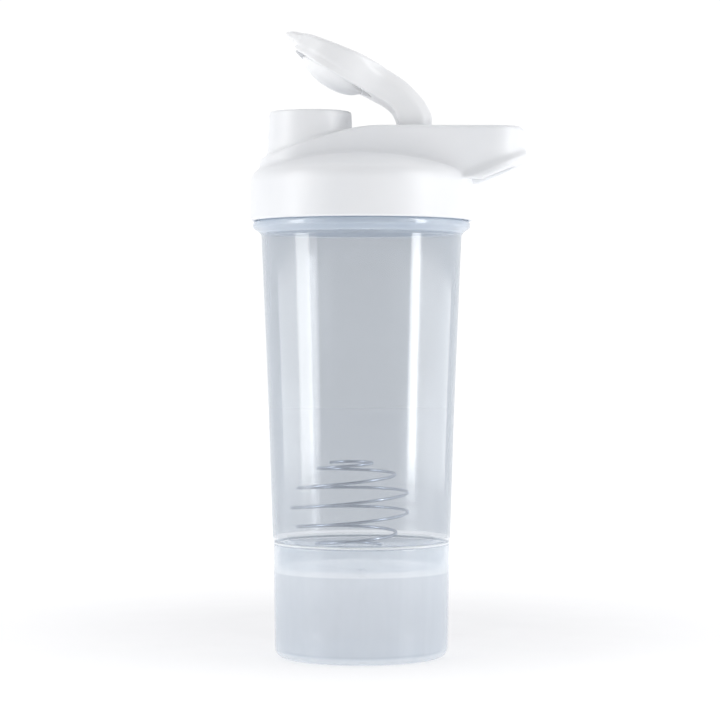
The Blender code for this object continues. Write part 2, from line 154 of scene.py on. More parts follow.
# ---------------------------------------------------------------- meshing
def surface_nets(field, low, high, cell):
    """Meshes field = 0 over a box with quads, one vertex in each cell that it crosses."""
    counts = [round((h - l) / cell) + 1 for l, h in zip(low, high)]
    axes = [l + cell * np.arange(n) for l, n in zip(low, counts)]
    values = field(*np.meshgrid(*axes, indexing="ij", sparse=True))
    cells = tuple(n - 1 for n in counts)
    total = int(np.prod(cells))
    weight = np.zeros(total)
    sums = np.zeros((3, total))
    quads = []
    for axis in range(3):
        u, v = (axis + 1) % 3, (axis + 2) % 3
        first = values.take(range(counts[axis] - 1), axis=axis)
        second = values.take(range(1, counts[axis]), axis=axis)
        where = np.argwhere((first < 0) != (second < 0))
        a = first[tuple(where.T)]
        b = second[tuple(where.T)]
        point = where.astype(float)
        point[:, axis] += a / (a - b)
        point = np.array(low) + cell * point
        ring = []
        for du, dv in ((-1, -1), (0, -1), (0, 0), (-1, 0)):
            owner = where.copy()
            owner[:, u] += du
            owner[:, v] += dv
            flat = np.ravel_multi_index(tuple(owner.T), cells)
            ring.append(flat)
            weight += np.bincount(flat, minlength=total)
            for k in range(3):
                sums[k] += np.bincount(flat, point[:, k], total)
        quad = np.stack(ring, 1)
        quad[a >= 0] = quad[a >= 0][:, ::-1]
        quads.append(quad)
    used = np.flatnonzero(weight)
    index = np.zeros(total, np.int64)
    index[used] = np.arange(len(used))
    return (sums[:, used] / weight[used]).T, index[np.concatenate(quads)]


def gradient(field, points):
    """Slope of a field at each point, by central differences."""
    step = 0.02
    columns = []
    for axis in range(3):
        shift = np.zeros(3)
        shift[axis] = step
        columns.append(field(*(points + shift).T) - field(*(points - shift).T))
    return np.stack(columns, 1) / (2 * step)


def mesh_field(name, field, low, high, cell, place=None):
    """Object whose surface is field = 0, with its normals taken from the field."""
    points, quads = surface_nets(field, low, high, cell)
    # a few Newton steps pull the points onto the surface
    for _ in range(4):
        slope = gradient(field, points)
        size = np.maximum((slope * slope).sum(1), 0.05)
        move = slope * (field(*points.T) / size)[:, None]
        points = points - np.clip(move, -0.5 * cell, 0.5 * cell)
    normals = gradient(field, points)
    normals /= np.maximum(np.linalg.norm(normals, axis=1), 1e-9)[:, None]
    if place is not None:
        points = place(points, True)
        normals = place(normals, False)
    mesh = bpy.data.meshes.new(name)
    mesh.from_pydata((points * MM).tolist(), [], quads.tolist())
    mesh.shade_smooth()
    mesh.normals_split_custom_set_from_vertices(normals.tolist())
    return add_object(name, mesh)


def add_object(name, mesh):
    ob = bpy.data.objects.new(name, mesh)
    bpy.context.scene.collection.objects.link(ob)
    return ob


def fillet_path(corners, step=3.0, arc_step=9.0, closed=False):
    """Dense outline from (radius, z, fillet radius) corners.

    step is the longest piece of a straight run, arc_step the degrees in a piece of an arc. Each
    straight run also gets a row close to either end, so that its shading stays flat.
    """
    path = []
    count = len(corners)
    for i in range(count):
        here = np.array(corners[i][:2], float)
        fillet = corners[i][2]
        ends = i in (0, count - 1) and not closed
        if ends or not fillet:
            path.append([here])
            continue
        before = np.array(corners[i - 1][:2], float) - here
        after = np.array(corners[(i + 1) % count][:2], float) - here
        before_len = np.linalg.norm(before)
        after_len = np.linalg.norm(after)
        before /= before_len
        after /= after_len
        angle = math.acos(float(np.clip(before @ after, -1, 1)))
        half = math.tan(angle / 2)
        reach = min(fillet / half, 0.49 * before_len, 0.49 * after_len)
        radius = reach * half
        middle = (before + after) / np.linalg.norm(before + after)
        centre = here + middle * radius / math.sin(angle / 2)
        start = here + before * reach - centre
        sweep = math.pi - angle
        side = math.copysign(1.0, float(before[0] * after[1] - before[1] * after[0]))
        steps = max(2, round(math.degrees(sweep) / arc_step))
        rows = []
        for k in range(steps + 1):
            a = -side * sweep * k / steps
            c = math.cos(a)
            s = math.sin(a)
            turned = [c * start[0] - s * start[1], s * start[0] + c * start[1]]
            rows.append(centre + np.array(turned))
        path.append(rows)
    out = []
    for i in range(count):
        out.extend(path[i])
        if i == count - 1 and not closed:
            break
        a = path[i][-1]
        b = path[(i + 1) % count][0]
        length = float(np.linalg.norm(b - a))
        if length < 0.5:
            continue
        margin = min(0.12, length / 4)
        inner = length - 2 * margin
        pieces = max(1, math.ceil(inner / step))
        for k in range(pieces + 1):
            out.append(a + (b - a) * (margin + inner * k / pieces) / length)
    return np.array(out)


def turn(name, path, segments=192, closed=False, shift=None, centre_x=0.0, place=None):
    """Object turned from an outline of (radius, z). An open outline starts and ends on the axis.

    shift(radius, angle, z) moves each point outwards, for threads and small marks.
    """
    angles = 2 * math.pi * np.arange(segments) / segments
    body = path if closed else path[1:-1]
    radius = np.repeat(body[:, :1], segments, 1)
    z = np.repeat(body[:, 1:], segments, 1)
    angle = np.repeat(angles[None, :], len(body), 0)
    if shift is not None:
        radius = radius + shift(radius, angle, z)
    columns = [centre_x + radius * np.cos(angle), radius * np.sin(angle), z]
    points = np.stack(columns, -1).reshape(-1, 3)
    rows = len(body)
    faces = []
    for k in range(rows if closed else rows - 1):
        n = (k + 1) % rows
        for i in range(segments):
            j = (i + 1) % segments
            faces.append((k * segments + i, k * segments + j, n * segments + j, n * segments + i))
    if not closed:
        tips = np.array([[centre_x, 0.0, path[0][1]], [centre_x, 0.0, path[-1][1]]])
        points = np.concatenate([points, tips])
        last = rows * segments
        for i in range(segments):
            j = (i + 1) % segments
            faces.append((last, j, i))
            faces.append((last + 1, (rows - 1) * segments + i, (rows - 1) * segments + j))
    if place is not None:
        points = place(points, True)
    mesh = bpy.data.meshes.new(name)
    mesh.from_pydata((points * MM).tolist(), [], faces)
    # the outline's turning sense decides which way its faces look
    area = 0.0
    previous = path[-1]
    for point in path:
        area += previous[0] * point[1] - point[0] * previous[1]
        previous = point
    if area < 0:
        mesh.flip_normals()
    mesh.shade_smooth()
    return add_object(name, mesh)


def open_cap(points, is_position):
    """From the closed cap's frame on the hinge axis to its part-open pose."""
    c = math.cos(CAP_OPEN)
    s = math.sin(CAP_OPEN)
    x, y, z = points.T
    out = np.stack([x * c + z * s, y, z * c - x * s], 1)
    if is_position:
        out = out + np.array([HINGE_X, 0.0, HINGE_Z])
    return out


# ---------------------------------------------------------------- lid
HOUSING_R = 20.2
HOUSING_WALL = 2.3
CHEEK_HALF = 19.6
SLOT_HALF = 14.0
LOOP_END_X = 66.1
LOOP_CORNER_R = 15.0
LOOP_BAR = 5.8
LOOP_TOP_Z = 211.0
RIM_DEPTH = 2.2
RIM_PROUD = 0.8
WALL_LEAN = 1.6
HOUSING_LOW_Z = 190.0
SPOUT_TOP_Z = 217.7
SPOUT_FOOT_Z = 198.0
SPOUT_FOOT_R = 17.4
SPOUT_TAPER = 0.0524
THROAT_R = 14.7
UNDER_DOME_R = 37.0
HOLLOW_END_X = 4.2
HOLLOW_LOW_Z = 185.0
SOCKET_R = 2.9
SOCKET_END_Y = 16.8


def dome_z(radius, drop=0.0):
    """Height of the dome, or of the same curve a little lower."""
    return DOME_TOP_Z - drop - (DOME_TOP_Z - SHOULDER_Z) * (radius / SHOULDER_R) ** 2


def deck_z(x):
    """Height of the sloping deck, which rises towards the loop."""
    return 209.5 + (x + 6.0) * 0.3137


def rim_z(x):
    """Height of the loop's lower rim, which rises towards its end."""
    return 188.9 + (x - 45.0) * 0.4122


def racetrack(x, y):
    """Plan of housing and loop: round about the spout, slightly tapered sides, round end."""
    half = HOUSING_R - (HOUSING_R - CHEEK_HALF) * np.clip((x - SPOUT_X) / 71.0, 0.0, 1.0)
    end = round_corner(x - LOOP_END_X, np.abs(y) - half, LOOP_CORNER_R)
    return np.where(x < SPOUT_X, np.hypot(x - SPOUT_X, y) - HOUSING_R, end)


def slot_field(x, y):
    """Plan of the space between the cheeks, which runs on as the finger opening."""
    far = round_corner(x - (LOOP_END_X - LOOP_BAR), np.abs(y) - SLOT_HALF, LOOP_CORNER_R - LOOP_BAR)
    return smax(far, 6.5 - x, 4.0)


def lid_thread_field(x, y, z, radius):
    pitch, root, crest, height = LID_THREAD
    start_z, turns = LID_RIDGE
    dz, along = helix_offset(np.arctan2(y, x), z, start_z, turns, pitch)
    tall = height * end_fade(along, turns)
    depth = np.clip((LID_BORE_R - radius) / height, -0.5, 1.5)
    width = root + (crest - root) * depth
    bar = smax(dz - width / 2, LID_BORE_R - tall - radius, 0.4)
    return np.maximum(bar, radius - LID_BORE_R - 0.8)


def lid_field(x, y, z):
    radius = np.hypot(x, y)
    # skirt and dome
    shell = smax(radius - LID_R, (z - dome_z(radius)) * 0.96, 4.4)
    shell = smax(shell, LID_EDGE_Z - z, 0.9)

    # deck, cheeks and loop, whose wall leans in above a flared rim
    plan = racetrack(x, y)
    above = z - rim_z(x) - RIM_DEPTH
    share = np.clip(above / (LOOP_TOP_Z - rim_z(x) - RIM_DEPTH), 0.0, 1.0)
    flare = (RIM_PROUD + WALL_LEAN) * np.exp(-((np.maximum(above, 0.0) / 2.4) ** 2))
    lean = WALL_LEAN * (1.0 - share) ** 1.6 * smoothstep(6.0, 38.0, x)
    lean = lean - flare * smoothstep(34.0, 39.0, x)
    top = round_corner(x - LOOP_END_X, z - LOOP_TOP_Z, 5.0)
    top = smax(top, (z - deck_z(x)) * 0.954, 3.0)
    floor = np.maximum(HOUSING_LOW_Z - z, (rim_z(x) - z) * 0.925)
    housing = smax(smax(plan + lean, top, 1.7), floor, 1.6)
    housing = smax(housing, -slot_field(x, y), 1.5)
    solid = smin(shell, housing, 1.8)

    spout_r = np.hypot(x - SPOUT_X, y)
    outer_r = SPOUT_FOOT_R - (z - SPOUT_FOOT_Z) * SPOUT_TAPER
    spout = smax(spout_r - outer_r, z - SPOUT_TOP_Z, 1.3)
    spout = np.maximum(spout, SPOUT_FOOT_Z - z)
    solid = smin(solid, spout, 1.8)

    # what is cut away: bore, space under the dome and the deck, throat and hinge sockets
    bore = smax(radius - LID_BORE_R, z - SEAL_CEILING_Z, 1.0)
    under_dome = smax(radius - UNDER_DOME_R, z - dome_z(radius, DOME_WALL), 1.0)
    hollow = smax(plan + HOUSING_WALL, z - deck_z(x) + HOUSING_WALL + 0.15, 1.5)
    hollow = smax(hollow, z - LOOP_TOP_Z + HOUSING_WALL, 1.5)
    hollow = smax(hollow, x - HOLLOW_END_X, 1.5)
    hollow = np.maximum(hollow, HOLLOW_LOW_Z - z)
    lead_in = np.maximum(z - SPOUT_TOP_Z + 1.0, 0.0) * 0.8
    throat = np.maximum(spout_r - THROAT_R - lead_in, HOUSING_LOW_Z - z)
    hinge_r = np.hypot(x - HINGE_X, z - HINGE_Z)
    socket = np.maximum(hinge_r - SOCKET_R, np.abs(y) - SOCKET_END_Y)
    cavity = smin(smin(bore, under_dome, 0.6), hollow, 1.0)
    cavity = smin(cavity, throat, 0.8)
    solid = smax(solid, -cavity, 0.7)
    solid = smax(solid, -socket, 0.5)
    return smin(solid, lid_thread_field(x, y, z, radius), 0.5)


def make_lid():
    low = (-45.6, -45.6, 172.8)
    high = (68.4, 45.6, 219.0)
    return mesh_field("lid_moulding", lid_field, low, high, 0.6)


# ---------------------------------------------------------------- flip cap and plug
# The cap's own frame is the closed cap with the hinge axis at x 0, z 0. Outlines are (x, z).
CAP_TOP = curve_through(
    [
        (-68.0, 10.6),
        (-64.0, 12.7),
        (-58.2, 14.7),
        (-49.8, 16.1),
        (-41.3, 17.4),
        (-32.6, 18.7),
        (-25.8, 19.2),
        (-19.5, 19.3),
        (-13.9, 19.0),
        (-6.9, 17.5),
        (-2.9, 16.1),
        (0.3, 14.4),
        (2.9, 12.3),
        (5.0, 10.0),
        (8.0, 6.0),
    ]
)
CAP_UNDER = curve_through(
    [
        (-80.0, 8.7),
        (-61.0, 7.8),
        (-54.0, 6.9),
        (-47.0, 6.2),
        (-40.0, 6.1),
        (-33.0, 6.3),
        (-27.0, 6.8),
        (-20.0, 7.2),
        (-15.0, 7.2),
        (-11.5, 6.3),
        (-9.0, 4.6),
        (-7.0, 2.8),
        (-4.6, 0.6),
        (0.0, -0.4),
        (8.0, -0.4),
    ]
)
CAP_R = 18.9
CAP_BORE_R = 17.5
ARM_HALF = 13.2
HUB_R = 5.0
TRUNNION_R = 2.6
TRUNNION_END_Y = 16.2
STUD_R = 5.0
STUD_LOW_Z = 6.0
TAB_X = -58.6
TAB_R = 6.0
TAB_LOW_Z = 9.7


def cap_field(x, y, z):
    # round cap and arm, with a slanted edge along the top that widens towards the hinge
    centre = x - CAP_CENTRE_X
    disc = np.hypot(centre, y) - CAP_R
    arm = smax(np.abs(y) - ARM_HALF, -centre, 2.0)
    plan = smin(disc, arm, 6.0)
    crown = 0.0014 * y * y
    top = (z + crown - np.interp(x, *CAP_TOP)) * 0.96
    top = smax(top, x - 4.9, 3.0)
    under = (np.interp(x, *CAP_UNDER) - z) * (1.0 - 0.28 * smoothstep(-14.0, -9.0, x))
    bevel = (plan + top) * math.sqrt(0.5) + 2.6 * smoothstep(-40.0, -20.0, x)
    main = smax(smax(smax(plan, top, 1.8), bevel, 1.2), under, 0.9)
    # thumb tab
    tab_plan = smin(np.hypot(x - TAB_X, y) - TAB_R, disc + 0.2, 5.0)
    tab = smax(tab_plan, top, 1.6)
    tab = smax(tab, TAB_LOW_Z + np.maximum(-58.8 - x, 0.0) * 0.16 - z, 1.2)
    main = smin(main, tab, 1.0)
    # hub and trunnions on the hinge axis
    hinge_r = np.hypot(x, z)
    hub = smax(hinge_r - HUB_R, np.abs(y) - ARM_HALF, 0.9)
    main = smin(main, hub, 1.6)
    trunnions = smax(hinge_r - TRUNNION_R, np.abs(y) - TRUNNION_END_Y, 0.6)
    main = smin(main, trunnions, 0.4)
    # recess, and the stud in it that holds the plug
    bore_r = np.hypot(centre, y)
    bore = smax(bore_r - CAP_BORE_R, z - CAP_CEILING_Z, 1.8)
    main = smax(main, -bore, 0.6)
    stud = smax(bore_r - STUD_R, STUD_LOW_Z - z, 0.8)
    stud = np.maximum(stud, z - CAP_CEILING_Z - 1.0)
    return smin(main, stud, 0.6)


def make_cap():
    low = (-66.6, -20.1, -6.0)
    high = (6.6, 20.1, 21.0)
    return mesh_field("cap_moulding", cap_field, low, high, 0.45, open_cap)


def make_plug():
    corners = [
        (0.0, 1.6, 0),
        (5.4, 1.9, 12.0),
        (10.6, 3.6, 9.0),
        (13.9, 6.6, 1.6),
        (13.3, 7.9, 0.5),
        (13.3, 8.6, 0.5),
        (13.2, 11.9, 0.5),
        (5.3, 11.9, 0.3),
        (5.3, 5.7, 0.5),
        (0.0, 5.7, 0),
    ]
    path = fillet_path(corners, 1.2)
    return turn("plug_soft", path, 128, centre_x=CAP_CENTRE_X, place=open_cap)


# ---------------------------------------------------------------- bottle, cup and seals
def ridge(angle, z, start_z, turns, form):
    """Height of a rounded thread ridge at a point of a wall."""
    pitch, root, crest, height = form
    dz, along = helix_offset(angle, z, start_z, turns, pitch)
    return height * end_fade(along, turns) * (1.0 - smoothstep(crest / 2, root / 2, dz))


def dense(path, low_z, high_z, low_r, high_r, step=0.22):
    """Adds rows to the part of an outline that carries a thread."""
    out = [path[0]]
    for a, b in zip(path[:-1], path[1:]):
        inside = low_z < (a[1] + b[1]) / 2 < high_z and low_r < (a[0] + b[0]) / 2 < high_r
        pieces = max(1, math.ceil(float(np.linalg.norm(b - a)) / step)) if inside else 1
        out.extend(a + (b - a) * k / pieces for k in range(1, pieces + 1))
    return np.array(out)


def bottle_shift(radius, angle, z):
    """Threads outside the neck and outside the ring under the floor."""
    neck = (z > 174.2) & (z < 189.4) & (radius > 40.0)
    ring = (z > 36.6) & (z < 45.9) & (radius > 31.6)
    move = np.where(neck, ridge(angle, z, *NECK_RIDGE, LID_THREAD), 0.0)
    return move + np.where(ring, ridge(angle, z, *RING_RIDGE, CUP_THREAD), 0.0)


def make_bottle():
    corners = [
        (0.0, 43.7, 0),
        (25.7, 43.7, 6.0),
        (33.7, 51.4, 7.0),
        (35.4, 102.5, 3000),
        (38.2, 169.0, 40),
        (38.5, 190.0, 0.5),
        (40.6, 190.0, 0.5),
        (40.6, 173.75, 0.3),
        (43.3, 173.75, 1.1),
        (43.3, 171.2, 1.2),
        (41.0, 169.6, 0.9),
        (40.0, 168.2, 1.6),
        (37.2, 102.5, 3000),
        (35.5, 48.1, 0.35),
        (35.25, 46.4, 0.3),
        (32.3, 46.4, 0.3),
        (32.3, 36.3, 0.4),
        (30.4, 36.3, 0.4),
        (30.4, 41.7, 0.7),
        (0.0, 41.7, 0),
    ]
    path = fillet_path(corners, 4.0)
    path = dense(path, 174.2, 189.4, 40.0, 41.5)
    path = dense(path, 36.6, 45.9, 31.9, 32.6)
    return turn("bottle_shell", path, 192, shift=bottle_shift)


def cup_shift(radius, angle, z):
    """Thread inside the cup's mouth, and a small raised line-up mark on its front."""
    inside = (radius < 34.1) & (z > 34.0) & (z < 44.5)
    thread = np.where(inside, -ridge(angle, z, *CUP_RIDGE, CUP_THREAD), 0.0)
    wall_r = 35.0
    away = np.abs(np.mod(angle, 2 * math.pi) - 1.5 * math.pi) * wall_r
    outside = (radius > 34.9) & (z > 33.0) & (z < 41.0)
    mark = 0.35 * (1.0 - smoothstep(0.25, 0.95, away))
    mark = mark * smoothstep(34.9, 35.5, z) * smoothstep(38.0, 37.4, z)
    return thread + np.where(outside, mark, 0.0)


def make_cup():
    corners = [
        (0.0, 1.8, 0),
        (33.1, 1.8, 2.9),
        (33.65, 45.0, 0.35),
        (35.2, 45.0, 0.35),
        (34.5, 0.0, 3.9),
        (26.0, 0.0, 0.3),
        (25.4, 0.35, 0.3),
        (0.0, 0.45, 0),
    ]
    path = fillet_path(corners, 4.0)
    path = dense(path, 34.0, 44.8, 33.0, 36.0, 0.3)
    return turn("cup_shell", path, 192, shift=cup_shift)


def make_seal(name, inner_r, outer_r, low_z, height):
    """Flat ring with softly rounded edges."""
    ease = height * 0.3
    corners = [
        (inner_r, low_z, ease),
        (outer_r, low_z, ease),
        (outer_r, low_z + height, ease),
        (inner_r, low_z + height, ease),
    ]
    return turn(name, fillet_path(corners, 2.0, 15.0, True), 192, closed=True)


# ---------------------------------------------------------------- mixer spring
def rounded_ramp(turns, start, blend):
    """0 before start, then one for one, with a parabola over blend turns on either side."""
    past = turns - start
    if abs(past) < blend:
        return (past + blend) ** 2 / (4 * blend)
    return max(past, 0.0)


def spring_point(turns):
    """Centre of the wire after some turns from the bottom: barrel radius, flat ends, slight lean."""
    climbed = rounded_ramp(turns, SPRING_CLIMB[0], SPRING_BLEND[0])
    climbed -= rounded_ramp(turns, SPRING_CLIMB[1], SPRING_BLEND[1])
    z = SPRING_LOW_Z + SPRING_PITCH * climbed
    radius = math.sqrt(SPRING_MAX_R**2 - ((z - SPRING_MID_Z) * SPRING_SQUASH) ** 2)
    a = 2 * math.pi * turns
    lean = SPRING_LEAN * math.sin(math.pi * turns / SPRING_TURNS) * radius * math.cos(a)
    return np.array([SPRING_X + radius * math.cos(a), radius * math.sin(a), z + lean])


def make_spring():
    """A round wire swept along the barrel-shaped coil, with ground ends."""
    sides = 14
    steps_per_turn = 60
    # ground ends: (distance in from the end, share of the wire's radius)
    ends = ((0.0, 0.45), (0.1, 0.8), (0.26, 1.0))
    steps = round(SPRING_TURNS * steps_per_turn)
    centres = np.array([spring_point(SPRING_TURNS * k / steps) for k in range(steps + 1)])
    along = np.gradient(centres, axis=0)
    along /= np.linalg.norm(along, axis=1)[:, None]
    axis = np.array([SPRING_X, 0.0, 0.0])
    rows = []
    for k in range(steps + 1):
        out = centres[k] - axis
        out[2] = 0.0
        out -= along[k] * (out @ along[k])
        out /= np.linalg.norm(out)
        rows.append((centres[k], along[k], out, np.cross(along[k], out)))
    sections = []
    for back, share in ends:
        sections.append((rows[0][0] + rows[0][1] * back, rows[0], share))
    sections += [(row[0], row, 1.0) for row in rows[1:-1]]
    for back, share in ends[::-1]:
        sections.append((rows[-1][0] - rows[-1][1] * back, rows[-1], share))
    points = []
    for centre, row, share in sections:
        for i in range(sides):
            a = 2 * math.pi * i / sides
            outward = math.cos(a) * row[2] + math.sin(a) * row[3]
            points.append(centre + WIRE_R * share * outward)
    faces = [tuple(range(sides))[::-1]]
    last = (len(sections) - 1) * sides
    for base in range(0, last, sides):
        above = base + sides
        for i in range(sides):
            j = (i + 1) % sides
            faces.append((base + i, base + j, above + j, above + i))
    faces.append(tuple(last + i for i in range(sides)))
    mesh = bpy.data.meshes.new("spring_wire")
    mesh.from_pydata((np.array(points) * MM).tolist(), [], faces)
    mesh.shade_smooth()
    return add_object("spring_wire", mesh)


# ---------------------------------------------------------------- materials
class Nodes:
    """Short calls for building one material's nodes."""

    def __init__(self, name):
        self.material = bpy.data.materials.new(name)
        self.material.use_nodes = True
        self.tree = self.material.node_tree
        self.shader = self.tree.nodes["Principled BSDF"]
        self.output = self.tree.nodes["Material Output"]
        self.place = self.new("ShaderNodeTexCoord").outputs["Object"]

    def new(self, kind, **settings):
        node = self.tree.nodes.new(kind)
        for key, value in settings.items():
            setattr(node, key, value)
        return node

    def link(self, source, target):
        self.tree.links.new(source, target)

    def stretched(self, scale):
        """Object space with each axis scaled, to draw a noise out along one of them."""
        node = self.new("ShaderNodeMapping")
        node.inputs["Scale"].default_value = scale
        self.link(self.place, node.inputs["Vector"])
        return node.outputs["Vector"]

    def noise(self, scale, detail=2.0, roughness=0.5, vector=None):
        """Noise in object space. scale is in cells a metre."""
        node = self.new("ShaderNodeTexNoise")
        node.inputs["Scale"].default_value = scale
        node.inputs["Detail"].default_value = detail
        node.inputs["Roughness"].default_value = roughness
        self.link(vector or self.place, node.inputs["Vector"])
        return node.outputs["Fac"]

    def spread(self, value, low, high, from_low=0.3, from_high=0.7):
        """Maps from_low..from_high to low..high. The default is the range that a noise covers."""
        node = self.new("ShaderNodeMapRange")
        node.inputs["From Min"].default_value = from_low
        node.inputs["From Max"].default_value = from_high
        node.inputs["To Min"].default_value = low
        node.inputs["To Max"].default_value = high
        self.link(value, node.inputs["Value"])
        return node.outputs["Result"]

    def colours(self, value, first, second):
        node = self.new("ShaderNodeMix", data_type="RGBA")
        node.inputs["A"].default_value = (*first, 1.0)
        node.inputs["B"].default_value = (*second, 1.0)
        self.link(value, node.inputs["Factor"])
        return node.outputs["Result"]

    def add(self, first, second, share):
        """first + share * second."""
        node = self.new("ShaderNodeMath", operation="MULTIPLY_ADD")
        self.link(second, node.inputs[0])
        node.inputs[1].default_value = share
        self.link(first, node.inputs[2])
        return node.outputs["Value"]

    def bump(self, height, distance, strength=1.0):
        node = self.new("ShaderNodeBump")
        node.inputs["Strength"].default_value = strength
        node.inputs["Distance"].default_value = distance
        self.link(height, node.inputs["Height"])
        self.link(node.outputs["Normal"], self.shader.inputs["Normal"])

    def band(self, low, high):
        """1 between two heights in metres, with soft ends."""
        soft = 0.0006
        split = self.new("ShaderNodeSeparateXYZ")
        self.link(self.place, split.inputs["Vector"])
        ends = []
        for start, end in ((low - soft, low), (high + soft, high)):
            ends.append(self.spread(split.outputs["Z"], 0.0, 1.0, start, end))
        return self.product(*ends)

    def lining(self, foot_radius, slope, low, high):
        """1 on a wall's inner face: inside a cone about Z, between two heights in metres."""
        flat = self.new("ShaderNodeVectorMath", operation="MULTIPLY")
        self.link(self.place, flat.inputs[0])
        flat.inputs[1].default_value = (1.0, 1.0, 0.0)
        radius = self.new("ShaderNodeVectorMath", operation="LENGTH")
        self.link(flat.outputs["Vector"], radius.inputs[0])
        split = self.new("ShaderNodeSeparateXYZ")
        self.link(self.place, split.inputs["Vector"])
        cone = self.new("ShaderNodeMath", operation="MULTIPLY_ADD")
        self.link(split.outputs["Z"], cone.inputs[0])
        cone.inputs[1].default_value = slope
        cone.inputs[2].default_value = foot_radius
        inside = self.new("ShaderNodeMath", operation="LESS_THAN")
        self.link(radius.outputs["Value"], inside.inputs[0])
        self.link(cone.outputs["Value"], inside.inputs[1])
        return self.product(inside.outputs["Value"], self.band(low, high))

    def product(self, first, second):
        node = self.new("ShaderNodeMath", operation="MULTIPLY")
        self.link(first, node.inputs[0])
        self.link(second, node.inputs[1])
        return node.outputs["Value"]

    def power(self, value, exponent):
        node = self.new("ShaderNodeMath", operation="POWER")
        self.link(value, node.inputs[0])
        node.inputs[1].default_value = exponent
        return node.outputs["Value"]

    def mix_shaders(self, share, first, second):
        node = self.new("ShaderNodeMixShader")
        if isinstance(share, float):
            node.inputs["Fac"].default_value = share
        else:
            self.link(share, node.inputs["Fac"])
        self.link(first, node.inputs[1])
        self.link(second, node.inputs[2])
        return node.outputs["Shader"]

    def set(self, **values):
        """Constants on the shader's own sockets, with _ for each space in a name."""
        for key, value in values.items():
            self.shader.inputs[key.replace("_", " ")].default_value = value


PLASTIC_IOR = 1.49
GLOW_SHARE = 0.45  # how much of the milky light comes through the wall from behind
FACE_SHINE = 0.07
EDGE_SHINE = 0.6


def white_plastic(name, first, second, rough, grain):
    """Satin moulded polypropylene: faint mottling, fine texture, slight sink and flow marks."""
    n = Nodes(name)
    mottle = n.noise(38.0, 3.0)
    tone = n.add(n.spread(mottle, 0.0, 1.0), n.noise(900.0, 2.0), 0.12)
    n.link(n.colours(tone, first, second), n.shader.inputs["Base Color"])
    wear = n.noise(160.0, 4.0, 0.6)
    n.link(n.spread(wear, *rough), n.shader.inputs["Roughness"])
    fine = n.noise(3200.0, 2.0)
    flow = n.noise(55.0, 1.0)
    n.bump(n.add(fine, flow, 6.0), grain)
    n.set(IOR=PLASTIC_IOR, Specular_IOR_Level=0.5)
    n.set(Subsurface_Weight=0.06, Subsurface_Radius=(0.9, 0.85, 0.8), Subsurface_Scale=0.002)
    return n.material


def clear_plastic(name, tint, milk_low, milk_high, rough, haze, lining, zones):
    """Clear, faintly milky polypropylene: a thin wall that tints and scatters what it lets through.

    haze is the share of light the outer face scatters, seen straight on and at its edge. lining is
    the inner face of the wall, (radius at z 0, slope, low z, high z), which is left fully clear, so
    the wall counts once. zones lists (low z, high z, extra haze, share of the tint left out, share
    of the surface effects left out) where thick rings and threads stack up.
    """
    n = Nodes(name)
    streaks = n.noise(60.0, 3.0, 0.55, n.stretched((1.0, 1.0, 0.12)))
    cloud = n.add(streaks, n.noise(14.0, 2.0), 0.5)
    ripple = n.noise(26.0, 1.0, 0.4, n.stretched((1.0, 1.0, 0.3)))
    n.bump(n.add(n.noise(1500.0, 1.0), ripple, 30.0), 0.0000014)
    normal = n.shader.inputs["Normal"].links[0].from_socket
    milk = n.colours(n.spread(cloud, 0.0, 1.0, 0.5, 1.0), milk_low, milk_high)
    roughness = n.spread(streaks, *rough)

    n.link(milk, n.shader.inputs["Base Color"])
    n.link(roughness, n.shader.inputs["Roughness"])
    n.set(IOR=PLASTIC_IOR)
    through = n.new("ShaderNodeBsdfTransparent")
    glow = n.new("ShaderNodeBsdfTranslucent")
    n.link(milk, glow.inputs["Color"])
    gloss = n.new("ShaderNodeBsdfGlossy")
    gloss.inputs["Color"].default_value = (1.0, 1.0, 1.0, 1.0)
    n.link(roughness, gloss.inputs["Roughness"])
    n.link(normal, gloss.inputs["Normal"])

    facing = n.new("ShaderNodeLayerWeight").outputs["Facing"]
    face_haze, edge_haze = haze
    uneven = n.spread(cloud, face_haze * 0.9, face_haze * 1.1, 0.5, 1.0)
    share = n.add(uneven, n.power(facing, 2.0), edge_haze - face_haze)
    pale = n.lining(*lining)
    outer = n.spread(pale, 1.0, 0.0, 0.0, 1.0)
    for low, high, extra, untinted, muted in zones:
        zone = n.band(low, high)
        share = n.add(share, zone, extra)
        pale = n.add(pale, zone, untinted)
        outer = n.add(outer, zone, -muted)
    n.link(n.colours(pale, tint, (1.0, 1.0, 1.0)), through.inputs["Color"])
    milky = n.mix_shaders(GLOW_SHARE, n.shader.outputs["BSDF"], glow.outputs["BSDF"])
    wall = n.mix_shaders(n.product(share, outer), through.outputs["BSDF"], milky)
    shine = n.product(n.spread(n.power(facing, 5.0), FACE_SHINE, EDGE_SHINE, 0.0, 1.0), outer)
    n.link(n.mix_shaders(shine, wall, gloss.outputs["BSDF"]), n.output.inputs["Surface"])
    return n.material


def soft_plastic(name, first, second, rough):
    """Soft translucent elastomer: milky, with a fine matt bloom."""
    n = Nodes(name)
    cloud = n.noise(90.0, 3.0)
    n.link(n.colours(n.spread(cloud, 0.0, 1.0), first, second), n.shader.inputs["Base Color"])
    n.link(n.spread(n.noise(420.0, 3.0), *rough), n.shader.inputs["Roughness"])
    n.bump(n.noise(2400.0, 3.0), 0.00002)
    n.set(IOR=1.43, Subsurface_Weight=0.35, Subsurface_Radius=(1.0, 1.0, 1.0), Subsurface_Scale=0.003)
    return n.material


